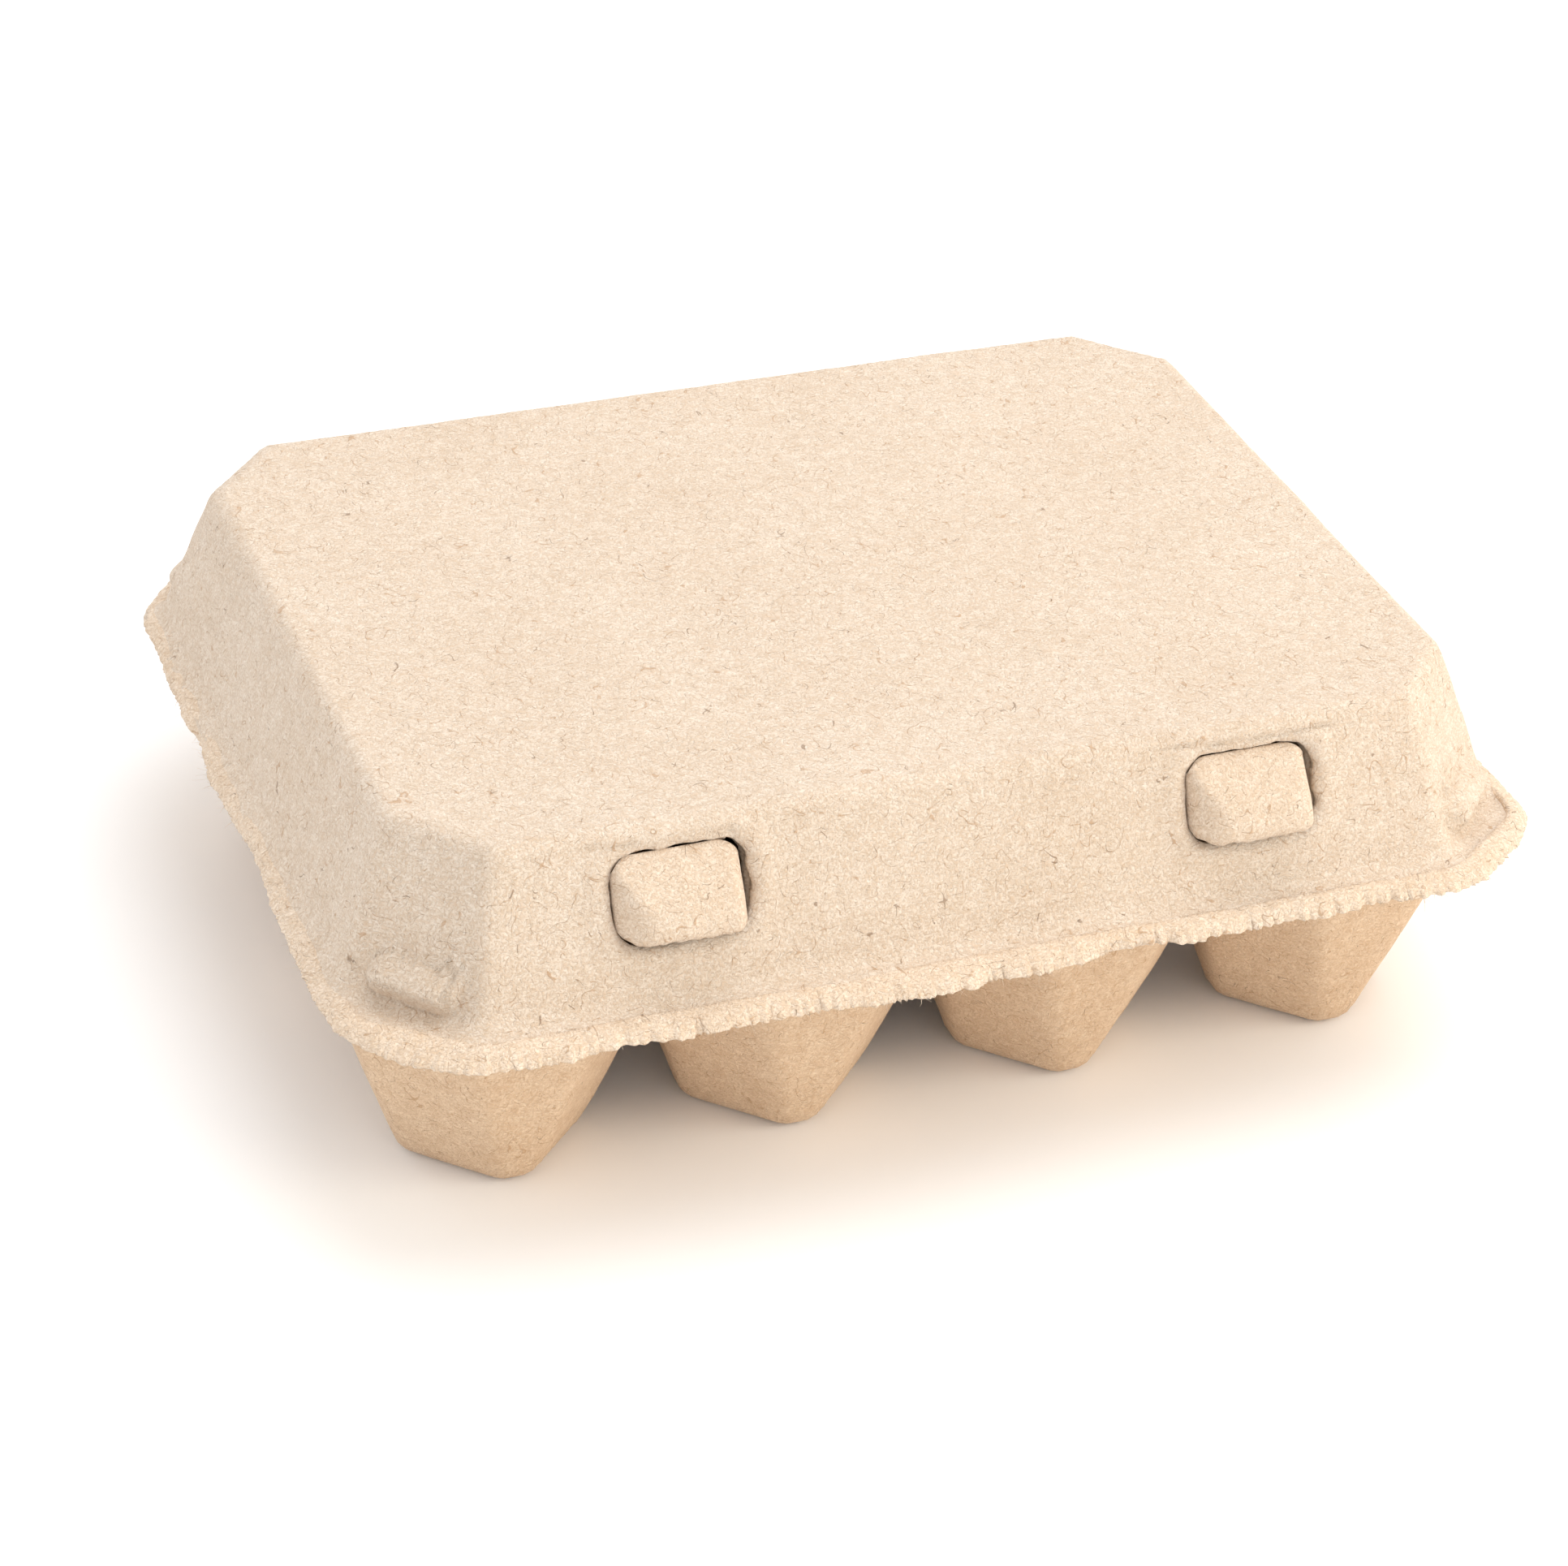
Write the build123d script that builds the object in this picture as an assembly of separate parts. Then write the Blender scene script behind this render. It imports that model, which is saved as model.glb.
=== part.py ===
from build123d import *
import os
from math import atan, cos, hypot, sin

# A moulded-pulp carton for twelve eggs. Lengths are in millimetres.
# Frame: origin on the ground under the middle of the closed carton, +X along its length,
# +Y towards the lid hinge, +Z up. The two locking windows face -Y.

# Driving dimensions
SHEET = 1.8  # pulp thickness
PITCH_X, PITCH_Y = 47.0, 48.0  # from one cup to the next
COLUMNS, ROWS = 4, 3
HEIGHT = 65.5
LENGTH, WIDTH = 201.0, 169.0  # over the lid flange and the hinge
CLEAR = 500.0  # larger than the carton, for a block that trims away everything on one side
OVERCUT = 1.0  # how far a cutting solid runs past what it cuts

# Egg cups: octagons given as height, half width across the flats, length of a flat
CUP_SECTIONS = [(0.0, 12.9, 6.3), (3.5, 15.9, 7.6), (16.0, 19.95, 12.6), (31.5, 24.8, 18.8)]
CUP_FLOOR = 2.0
CUP_TOP = CUP_SECTIONS[-1][0]

# Dividing posts: square tubes set corner to corner between the cups, as height and half diagonal
POST_SECTIONS = [(CUP_TOP, 16.2), (45.0, 10.8), (58.0, 6.8)]
POST_WALL_DIAGONAL = 2.8  # the sheet, measured along the diagonal
RIM_POST_SECTIONS = [(CUP_TOP, 16.2), (38.2, 13.0)]

# Base rim
RIM_TOP = 38.2
RIM_UNDER = RIM_TOP - SHEET
RIM_HALF_X, RIM_FRONT, RIM_REAR = 98.5, 74.5, 82.5
RIM_FRONT_LEG, RIM_REAR_LEG = (17.5, 14.0), (15.5, 22.5)  # along X and along Y
BASE_WALL_LEAN = 1.0  # how far the upper side wall leans out between the cups and the rim
BASE_WALL = 2.0  # its horizontal thickness

# Lid
LID_FLANGE_UNDER = 38.4
LID_FLANGE_TOP = LID_FLANGE_UNDER + SHEET
LID_TOP_X, LID_TOP_Y = 88.0, 67.0  # half sizes of the flat top
LID_FOOT_X, LID_FOOT_Y = 97.0, 77.0  # half sizes where the walls meet the flange
LID_FOOT_Z = 40.0
TOP_LEG_X, TOP_LEG_Y = 12.6, 14.0  # the cut corner of the top
FOOT_LEG_X, FOOT_LEG_Y = 16.5, 18.33
FLANGE_FRONT_LEG, FLANGE_REAR_LEG = (17.0, 13.0), (15.5, 22.5)
CROWN_Z = 60.0  # the rounded crown starts here
CROWN_ROUND = 4.5
LID_WALL = 1.95  # horizontal thickness of the leaning walls

# Hinge folds
REAR_FOLD_R = 1.0
REAR_FOLD_Y, REAR_FOLD_Z = WIDTH / 2 - REAR_FOLD_R, 38.3
REAR_FOLD_GAP = 0.3
REAR_FOLD_LENGTH = 168.0
FRONT_FOLD_Y, FRONT_FOLD_Z, FRONT_FOLD_R = -73.7, 38.9, 0.7

# Locking windows, flap and tabs, set out on the leaning front wall of the lid:
# "rise" is measured up the slope from the wall's foot, "out" along its outward normal
WINDOW_X = 47.0
WINDOW_WIDTH, WINDOW_ROUND = 21.8, 4.0
WINDOW_RISE = (9.0, 23.2)
FLAP_HALF_X, FLAP_ROUND = 72.0, 7.0
FLAP_RISE = (1.2, 24.8)
FLAP_MIDDLE_OUT = -3.47
FLAP_HOLE_WIDTH, FLAP_HOLE_ROUND = 21.0, 3.5
FLAP_HOLE_RISE = (9.3, 23.2)
TAB_WIDTH, TAB_ROUND, TAB_SHEET = 20.2, 3.6, 1.4
TAB_RISE = (9.9, 22.3)
TAB_FACE = [(22.2, -0.7), (18.5, 1.0), (14.6, 2.9), (11.3, 3.9), (9.9, 3.7)]  # rise, out
TAB_FOLD_RISE, TAB_FOLD_OUT, TAB_FOLD_R, TAB_FOLD_LENGTH = 21.8, -0.9, 0.6, 12.0
TAB_BACK = [(9.9, -3.5), (21.5, -2.0)]
TAB_HOLLOW = [(18.5, -0.7), (14.6, 1.3), (11.3, 2.4), (7.5, 2.4), (7.5, -6.0), (18.5, -6.0)]  # rise, out

# Nesting lugs on the cut corners
LUG_LENGTH, LUG_HEIGHT, LUG_PROUD = 14.0, 5.0, 2.2
LUG_RISE = 4.4  # of its middle, up the slope from the wall's foot

SIDES = ["front", "front_right", "right", "rear_right", "rear", "rear_left", "left", "front_left"]
FRONT_LEAN = atan((LID_FOOT_Y - LID_TOP_Y) / (HEIGHT - LID_FOOT_Z))


def octagon(half_x, front, rear, front_leg, rear_leg):
    """Corner points of a rectangle with cut corners; edge i is the side SIDES[i].
    A leg is how much the cut takes off along X and along Y."""
    right = [
        (half_x - front_leg[0], -front),
        (half_x, front_leg[1] - front),
        (half_x, rear - rear_leg[1]),
        (half_x - rear_leg[0], rear),
    ]
    left = [(-x, y) for x, y in reversed(right)]
    return left[3:] + right + left[:3]


def inset_octagon(half_x, half_y, leg_x, leg_y, inset):
    """The symmetric octagon with every side moved inwards by the same distance."""
    shrink = 1 - inset * (leg_x + leg_y - hypot(leg_x, leg_y)) / (leg_x * leg_y)
    leg = (leg_x * shrink, leg_y * shrink)
    return octagon(half_x - inset, half_y - inset, half_y - inset, leg, leg)


def section(points, z):
    return Pos(0, 0, z) * Polygon(*points, align=None)


def stack(sections):
    """A straight-sided solid through outlines given as (points, height)."""
    return loft([section(points, z) for points, z in sections], ruled=True)


def between(low, high, share):
    return low + (high - low) * share


def cup_outline(x, y, half, flat):
    leg = (half - flat / 2, half - flat / 2)
    return [(x + px, y + py) for px, py in octagon(half, half, half, leg, leg)]


def cup_frustum(x, y, inset, floor):
    """A cup's outside (inset 0) or the egg's space inside it."""
    corner_share = 2 - 2**0.5  # a flat of an inset octagon shortens by this much of the inset
    sections = []
    for z, half, flat in CUP_SECTIONS:
        sections.append((cup_outline(x, y, half - inset, flat + 2 * inset * (corner_share - 1)), z + floor))
    return stack(sections)


def egg_cup(column, row):
    x, y = column_x(column), row_y(row)
    solid = cup_frustum(x, y, 0, 0) - cup_frustum(x, y, SHEET, CUP_FLOOR)
    low_x = x - (CLEAR if column == 0 else PITCH_X / 2)
    high_x = x + (CLEAR if column == COLUMNS - 1 else PITCH_X / 2)
    low_y = y - (CLEAR if row == 0 else PITCH_Y / 2)
    high_y = y + (CLEAR if row == ROWS - 1 else PITCH_Y / 2)
    return solid & block(low_x, high_x, low_y, high_y, 0, CUP_TOP)


def block(low_x, high_x, low_y, high_y, low_z, high_z):
    size = (high_x - low_x, high_y - low_y, high_z - low_z)
    return Pos(low_x, low_y, low_z) * Box(*size, align=(Align.MIN, Align.MIN, Align.MIN))


def column_x(column):
    return (column - (COLUMNS - 1) / 2) * PITCH_X


def row_y(row):
    return (row - (ROWS - 1) / 2) * PITCH_Y


def diamond(x, y, half):
    return [(x - half, y), (x, y - half), (x + half, y), (x, y + half)]


def diamond_stack(x, y, sections, inset):
    return stack([(diamond(x, y, half - inset), z) for z, half in sections])


def divider_post(x, y):
    """A hollow post, closed at its top, that stands between four cups."""
    (z0, half0), (z1, half1), (z2, half2) = POST_SECTIONS
    roof = z2 - SHEET
    roof_half = between(half1, half2, (roof - z1) / (z2 - z1))
    hollow = [(z0, half0), (z1, half1), (roof, roof_half)]
    return diamond_stack(x, y, POST_SECTIONS, 0) - diamond_stack(x, y, hollow, POST_WALL_DIAGONAL)


def rim_post(x, y):
    """The half post, open below, that fills the notch between two outer cups up to the rim."""
    (z0, half0), (z1, half1) = RIM_POST_SECTIONS
    under_half = between(half0, half1, (RIM_UNDER - z0) / (z1 - z0))
    hollow = [(z0, half0), (RIM_UNDER, under_half)]
    solid = diamond_stack(x, y, RIM_POST_SECTIONS, 0)
    solid -= diamond_stack(x, y, hollow, POST_WALL_DIAGONAL)
    return solid & base_outside()


def wall_rectangle(lean, inset):
    """The outline of the base's upper side wall."""
    half = CUP_SECTIONS[-1][1] + lean - inset
    half_x = column_x(COLUMNS - 1) + half
    half_y = row_y(ROWS - 1) + half
    return [(-half_x, -half_y), (half_x, -half_y), (half_x, half_y), (-half_x, half_y)]


def base_outside():
    wall = stack([(wall_rectangle(0, 0), CUP_TOP), (wall_rectangle(BASE_WALL_LEAN, 0), RIM_UNDER)])
    outline = octagon(RIM_HALF_X, RIM_FRONT, RIM_REAR, RIM_FRONT_LEG, RIM_REAR_LEG)
    return wall + Pos(0, 0, RIM_UNDER) * extrude(Polygon(*outline, align=None), amount=SHEET)


def rim_post_places():
    inner_x = [column_x(i) + PITCH_X / 2 for i in range(COLUMNS - 1)]
    inner_y = [row_y(i) + PITCH_Y / 2 for i in range(ROWS - 1)]
    edge_x, edge_y = COLUMNS * PITCH_X / 2, ROWS * PITCH_Y / 2
    return {
        "front": [(x, -edge_y) for x in inner_x],
        "rear": [(x, edge_y) for x in inner_x],
        "left": [(-edge_x, y) for y in inner_y],
        "right": [(edge_x, y) for y in inner_y],
        "corner": [(x, y) for x in (-edge_x, edge_x) for y in (-edge_y, edge_y)],
    }


def base_rims():
    """The straight runs of upper wall and rim, one group of solids for each side."""
    inside = stack(
        [(wall_rectangle(0, BASE_WALL), CUP_TOP), (wall_rectangle(BASE_WALL_LEAN, BASE_WALL), RIM_TOP)]
    )
    ring = base_outside() - inside
    for places in rim_post_places().values():
        for x, y in places:
            ring -= diamond_stack(x, y, RIM_POST_SECTIONS, 0)
    sides = {"front": [], "rear": [], "left": [], "right": []}
    for solid in ring.solids():
        middle = solid.center()
        if abs(middle.Y) > row_y(ROWS - 1) + PITCH_Y / 3:
            sides["front" if middle.Y < 0 else "rear"].append(solid)
        else:
            sides["left" if middle.X < 0 else "right"].append(solid)
    return sides


def rear_fold():
    bead = Rot(0, 90, 0) * Cylinder(REAR_FOLD_R, REAR_FOLD_LENGTH)
    return Pos(0, REAR_FOLD_Y, REAR_FOLD_Z) * bead


def front_fold():
    """The rounded crease along the front rim that the flap turns on."""
    length = 2 * FLAP_HALF_X
    bead = Pos(0, FRONT_FOLD_Y, FRONT_FOLD_Z) * Rot(0, 90, 0) * Cylinder(FRONT_FOLD_R, length)
    low_y, high_y = FRONT_FOLD_Y - FRONT_FOLD_R, FRONT_FOLD_Y + FRONT_FOLD_R
    return bead + block(-FLAP_HALF_X, FLAP_HALF_X, low_y, high_y, RIM_TOP, FRONT_FOLD_Z)


def lid_share(z):
    """0 at the foot of the lid's walls, 1 at the height of its top."""
    return (z - LID_FOOT_Z) / (HEIGHT - LID_FOOT_Z)


def lid_sizes(z):
    share = lid_share(z)
    return (
        between(LID_FOOT_X, LID_TOP_X, share),
        between(LID_FOOT_Y, LID_TOP_Y, share),
        between(FOOT_LEG_X, TOP_LEG_X, share),
        between(FOOT_LEG_Y, TOP_LEG_Y, share),
    )


def lid_outline(z, inset):
    return inset_octagon(*lid_sizes(z), inset)


def lid_panel(side):
    """One flat wall of the lid, mitred to its neighbours at the creases."""
    near, far = side, (side + 1) % len(SIDES)
    quads = []
    for z in (LID_FLANGE_TOP, CROWN_Z):
        outer, inner = lid_outline(z, 0), lid_outline(z, LID_WALL)
        quads.append(([outer[near], outer[far], inner[far], inner[near]], z))
    return stack(quads)


def lid_flange(side):
    near, far = side, (side + 1) % len(SIDES)
    rear = REAR_FOLD_Y - REAR_FOLD_R - REAR_FOLD_GAP
    outer = octagon(LENGTH / 2, WIDTH / 2, rear, FLANGE_FRONT_LEG, FLANGE_REAR_LEG)
    inner = lid_outline(LID_FLANGE_TOP, LID_WALL)
    quad = Polygon(outer[near], outer[far], inner[far], inner[near], align=None)
    return Pos(0, 0, LID_FLANGE_UNDER) * extrude(quad, amount=SHEET)


def lid_crown():
    """The flat top with its rounded shoulder."""
    under = HEIGHT - SHEET
    outside = stack([(lid_outline(CROWN_Z, 0), CROWN_Z), (lid_outline(HEIGHT, 0), HEIGHT)])
    outside = fillet(outside.faces().sort_by(Axis.Z)[-1].edges(), CROWN_ROUND)
    hollow = stack([(lid_outline(CROWN_Z, LID_WALL), CROWN_Z), (lid_outline(under, LID_WALL), under)])
    hollow = fillet(hollow.faces().sort_by(Axis.Z)[-1].edges(), CROWN_ROUND - SHEET)
    return with_windows(outside - hollow)


def on_front_wall(x):
    """A plane on the lid's front wall: local X along the carton, local Y up the slope,
    local Z out of the wall."""
    out = (0, -cos(FRONT_LEAN), sin(FRONT_LEAN))
    return Plane(origin=(x, -LID_FOOT_Y, LID_FOOT_Z), x_dir=(1, 0, 0), z_dir=out)


def rounded_slab(x, width, rise, corner, low_out, high_out):
    """A rounded rectangle on the front wall's plane, given thickness along the wall's normal."""
    outline = RectangleRounded(width, rise[1] - rise[0], corner)
    middle = (rise[0] + rise[1]) / 2
    return on_front_wall(x) * Pos(0, middle, low_out) * extrude(outline, amount=high_out - low_out)


def with_windows(solid):
    """The two locking windows, cut through the lid's front wall and the foot of its crown."""
    for x in (-WINDOW_X, WINDOW_X):
        low, high = -LID_WALL - OVERCUT, OVERCUT
        solid -= rounded_slab(x, WINDOW_WIDTH, WINDOW_RISE, WINDOW_ROUND, low, high)
    return solid


def locking_flap():
    low, high = FLAP_MIDDLE_OUT - SHEET / 2, FLAP_MIDDLE_OUT + SHEET / 2
    rise_low, rise_high = FLAP_RISE
    tall = (rise_low - FLAP_ROUND, rise_high)  # its round lower corners are cut away again
    flap = rounded_slab(0, 2 * FLAP_HALF_X, tall, FLAP_ROUND, low, high)
    flap &= on_front_wall(0) * block(-CLEAR, CLEAR, rise_low, CLEAR, -CLEAR, CLEAR)
    low, high = low - OVERCUT, high + OVERCUT
    for x in (-WINDOW_X, WINDOW_X):
        flap -= rounded_slab(x, FLAP_HOLE_WIDTH, FLAP_HOLE_RISE, FLAP_HOLE_ROUND, low, high)
    return flap


def wedge(x, width, points):
    """A solid of the given width whose outline is drawn across the front wall, as (rise, out)."""
    profile = Plane.YZ * make_face(Polyline(*points, close=True))
    return on_front_wall(x) * Pos(-width / 2, 0, 0) * extrude(profile, amount=width)


def lock_tab(x):
    """A pillow-shaped catch, open behind, that stands out through the lid's window."""
    solid = wedge(x, TAB_WIDTH, TAB_FACE + TAB_BACK)
    solid -= wedge(x, TAB_WIDTH - 2 * TAB_SHEET, TAB_HOLLOW)
    solid &= rounded_slab(x, TAB_WIDTH, TAB_RISE, TAB_ROUND, -CLEAR, CLEAR)
    fold = Pos(0, TAB_FOLD_RISE, TAB_FOLD_OUT) * Rot(0, 90, 0) * Cylinder(TAB_FOLD_R, TAB_FOLD_LENGTH)
    return solid + on_front_wall(x) * fold


def nesting_lug(side):
    """The small pill-shaped stop low on a cut corner of the lid."""
    near, far = side, (side + 1) % len(SIDES)
    foot = lid_outline(LID_FOOT_Z, 0)
    top = lid_outline(HEIGHT, 0)
    low = (Vector(*foot[near], LID_FOOT_Z) + Vector(*foot[far], LID_FOOT_Z)) / 2
    high = (Vector(*top[near], HEIGHT) + Vector(*top[far], HEIGHT)) / 2
    along = (Vector(*foot[far]) - Vector(*foot[near])).normalized()
    up = (high - low).normalized()
    plane = Plane(origin=low + up * LUG_RISE, x_dir=along, z_dir=along.cross(up))
    return plane * extrude(SlotOverall(LUG_LENGTH, LUG_HEIGHT), amount=LUG_PROUD)


def build():
    parts = {}
    for row, name in enumerate(["front", "middle", "rear"]):
        for column in range(COLUMNS):
            parts[f"egg_cup_{name}_{column + 1}"] = egg_cup(column, row)
    for row, name in enumerate(["front", "rear"]):
        for column in range(COLUMNS - 1):
            place = (column_x(column) + PITCH_X / 2, row_y(row) + PITCH_Y / 2)
            parts[f"divider_post_{name}_{column + 1}"] = divider_post(*place)
    for side, places in rim_post_places().items():
        parts[f"rim_posts_{side}"] = Compound([rim_post(x, y).solid() for x, y in places])
    for side, solids in base_rims().items():
        parts[f"base_rim_{side}"] = Compound(solids)
    parts["rear_hinge_fold"] = rear_fold()
    parts["front_hinge_fold"] = front_fold()

    parts["lid_crown"] = lid_crown()
    for i, side in enumerate(SIDES):
        corner = "_" in side
        panel = lid_panel(i)
        parts[f"lid_{'corner_' if corner else ''}{side}_wall"] = with_windows(panel) if side == "front" else panel
        if corner:
            parts[f"nesting_lug_{side}"] = nesting_lug(i)
        else:
            parts[f"lid_flange_{side}"] = lid_flange(i)
    corners = [lid_flange(i).solid() for i, side in enumerate(SIDES) if "_" in side]
    parts["lid_flange_corners"] = Compound(corners)

    parts["locking_flap"] = locking_flap()
    parts["lock_tab_left"] = lock_tab(-WINDOW_X)
    parts["lock_tab_right"] = lock_tab(WINDOW_X)
    return parts


os.makedirs("parts", exist_ok=True)
for node, shape in build().items():
    export_step(shape, f"parts/{node}.step")
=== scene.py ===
from math import cos, radians, sin, tau

import bpy
import numpy as np
from mathutils import Matrix, Vector


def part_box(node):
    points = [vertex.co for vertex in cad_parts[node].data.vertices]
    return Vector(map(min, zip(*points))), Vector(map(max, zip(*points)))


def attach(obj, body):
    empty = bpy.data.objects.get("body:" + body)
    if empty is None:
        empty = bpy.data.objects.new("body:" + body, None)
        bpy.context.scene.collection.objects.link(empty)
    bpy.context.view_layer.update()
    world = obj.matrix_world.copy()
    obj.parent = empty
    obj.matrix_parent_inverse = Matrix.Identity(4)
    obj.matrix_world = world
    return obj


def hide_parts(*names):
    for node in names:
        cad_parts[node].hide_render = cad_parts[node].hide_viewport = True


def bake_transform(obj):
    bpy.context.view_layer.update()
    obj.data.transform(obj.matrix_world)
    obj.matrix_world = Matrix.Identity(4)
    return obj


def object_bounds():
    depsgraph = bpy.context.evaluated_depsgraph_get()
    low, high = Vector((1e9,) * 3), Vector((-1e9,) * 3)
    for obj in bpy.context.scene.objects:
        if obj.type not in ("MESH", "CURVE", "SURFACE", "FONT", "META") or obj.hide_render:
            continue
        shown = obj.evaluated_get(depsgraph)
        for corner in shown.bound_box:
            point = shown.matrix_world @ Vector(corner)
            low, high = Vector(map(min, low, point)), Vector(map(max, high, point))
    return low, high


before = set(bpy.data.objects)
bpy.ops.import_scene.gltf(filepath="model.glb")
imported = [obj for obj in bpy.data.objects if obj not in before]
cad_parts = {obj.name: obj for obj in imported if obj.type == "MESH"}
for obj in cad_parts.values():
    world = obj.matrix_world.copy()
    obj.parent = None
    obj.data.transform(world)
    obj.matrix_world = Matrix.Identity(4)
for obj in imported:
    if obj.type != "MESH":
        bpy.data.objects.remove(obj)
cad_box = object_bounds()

# The look of a moulded-pulp egg carton. Meshes are worked out in millimetres, in the frame's axes:
# +X along the carton, +Y towards the lid hinge, +Z up. MM turns them into Blender's metres.
MM = 0.001


# ---------------------------------------------------------------- places from the frame

def box_mm(node):
    """A CAD node's lowest and highest corner, in millimetres."""
    return [np.array(corner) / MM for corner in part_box(node)]


CAD_LOW, CAD_HIGH = (np.array(corner) / MM for corner in cad_box)
TOP_Z = CAD_HIGH[2]
COLUMNS, ROWS = 4, 3
cup_low, cup_high = box_mm("egg_cup_middle_2")
PITCH_X, PITCH_Y = (cup_high - cup_low)[:2]
POST_TOP = box_mm("divider_post_front_2")[1][2]
rim_low, rim_high = box_mm("base_rim_front")
RIM_TOP = rim_high[2]
RIM_FRONT = -rim_low[1]
RIM_REAR = box_mm("rim_posts_rear")[1][1]
RIM_HALF_X = -box_mm("rim_posts_left")[0][0]
FLANGE_TOP = box_mm("lid_flange_front")[1][2]
FLANGE_REAR = box_mm("lid_flange_rear")[1][1]
tab_low, tab_high = box_mm("lock_tab_right")
WINDOW_X = (tab_low[0] + tab_high[0]) / 2


# ---------------------------------------------------------------- sizes of the sheet and its shapes

SHEET = 1.8
RIM_BULGE, TEAR_SIZE = 0.32, 0.9  # a cut edge stands out by this share of the sheet; size of its tears
CUP_FLATS = [(0.0, 14.7), (16.0, 19.95), (31.5, 24.8)]  # height, distance from the cup's middle
CUP_CORNERS = [(0.0, 12.0), (16.0, 18.56), (31.5, 24.18), (45.0, 27.93), (58.0, 30.76)]
CUP_FOOT_ROUND, CUP_EDGE_ROUND, CUP_RIDGE_ROUND, POST_ROUND = 2.6, 1.1, 1.6, 1.6
RIM_CUTS = ((17.5, 14.0), (15.5, 22.5))  # what the front and the rear corners lose along X and Y
FLANGE_CUTS = ((17.0, 13.0), (15.5, 22.5))

LID_FOOT_Z = 40.0
LID_SIDE = (97.0, 88.0)  # distance from the middle at the foot and at the top
LID_END = (77.0, 67.0)
LID_CORNER = (111.35, 100.86)
CORNER_NORMAL = (0.7433, 0.6689)
LID_TOP_ROUND, LID_EDGE_ROUND, LID_FOOT_ROUND = 1.9, 0.75, 2.2
LID_SHEET = 1.9
LIP_INSET_SIDE, LIP_INSET_FRONT, LIP_DROP = 1.6, 2.4, 0.75  # the whole sheet stops short of the torn edge
FRONT_LEAN = np.arctan((LID_END[0] - LID_END[1]) / (TOP_Z - LID_FOOT_Z))
FRONT_UP = np.array([0, sin(FRONT_LEAN), cos(FRONT_LEAN)])
FRONT_OUT = np.array([0, -cos(FRONT_LEAN), sin(FRONT_LEAN)])
FRONT_FOOT = np.array([0, -LID_END[0], LID_FOOT_Z])

WINDOW_HALF, WINDOW_RISE, WINDOW_ROUND = 11.1, (9.0, 23.3), 4.4
FLAP_HALF_X, FLAP_ROUND, FLAP_RISE, FLAP_OUT = 72.0, 7.0, (1.2, 24.8), -3.47
HOLE_HALF, HOLE_RISE, HOLE_ROUND = 11.3, (8.2, 23.3), 3.5
TAB_HALF, TAB_RISE, TAB_ROUND, TAB_SHEET = 10.4, (9.4, 23.1), 3.8, 1.4
LUG_HALF, LUG_RISE, LUG_ROUND, LUG_PROUD = 5.0, 3.5, 3.2, 2.7
LUG_ALONG = 8.94  # its middle, measured along the cut corner
LUG_THINNING = 1.2  # how much the sheet is drawn thinner over a lug
LUG_HOLLOW = 0.45  # depth of the dip round it
SWELL_HEIGHT, SWELL_OFF, SWELL_WIDTH = 0.38, 2.2, 1.7  # the soft ridge round each window
WINDOW_FALL = 0.45  # how far the sheet falls in at the window's edge
CREASE_RISE, CREASE_WIDTH, CREASE_DEPTH = 24.6, 0.7, 0.6  # the wrinkles above the windows


# ---------------------------------------------------------------- numbers over many points

def lumps(points, size, seed=0):
    """Smooth random lumps between -1 and 1, about one for every size millimetres."""
    table = np.random.default_rng(seed).uniform(-1, 1, 8191)
    cell = np.floor(points / size).astype(np.int64)
    inside = points / size - cell
    inside = inside * inside * (3 - 2 * inside)
    total = np.zeros(len(points))
    for corner in np.ndindex(2, 2, 2):
        a, b, c = (cell + corner).T
        weight = np.prod(np.where(corner, inside, 1 - inside), axis=1)
        total += weight * table[(a * 73856093 + b * 19349663 + c * 83492791) % len(table)]
    return total


def layered(points, *layers):
    """Lumps of several sizes added up, from the amount, size and seed of each."""
    return sum(amount * lumps(points, size, seed) for amount, size, seed in layers)


def smooth(low, high, value):
    """0 below low, 1 above high, and a soft step between them."""
    share = np.clip((value - low) / (high - low), 0, 1)
    return share * share * (3 - 2 * share)


def rounded_inside(radius, *faces):
    """Distance to the body inside every face, its edges rounded. It is negative inside."""
    faces = np.array(np.broadcast_arrays(*faces))
    over = np.linalg.norm(np.maximum(faces + radius, 0), axis=0)
    return np.minimum(faces.max(axis=0), -radius) + over


def rounded_union(radius, *bodies):
    """Distance to several bodies joined, with a fillet of that radius in the crease between them."""
    bodies = np.array(np.broadcast_arrays(*bodies))
    under = np.linalg.norm(np.maximum(radius - bodies, 0), axis=0)
    return np.maximum(bodies.min(axis=0), radius) - under


def leaning_face(across, z, profile):
    """Distance outside a wall whose place across is given at several heights, as (z, across)."""
    distance = np.full(np.broadcast(across, z).shape, -np.inf)
    for (z0, across0), (z1, across1) in zip(profile, profile[1:]):
        slope = (across1 - across0) / (z1 - z0)
        distance = np.maximum(distance, (across - across0 - slope * (z - z0)) / np.hypot(1, slope))
    return distance


def surface_height(distance, x, y, low, high):
    """The height at which distance(x, y, z) changes sign, at every x and y."""
    low, high = np.full(x.shape, float(low)), np.full(x.shape, float(high))
    low_sign = np.sign(distance(x, y, low))
    for _ in range(24):
        middle = (low + high) / 2
        same = np.sign(distance(x, y, middle)) == low_sign
        low, high = np.where(same, middle, low), np.where(same, high, middle)
    return (low + high) / 2


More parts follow.
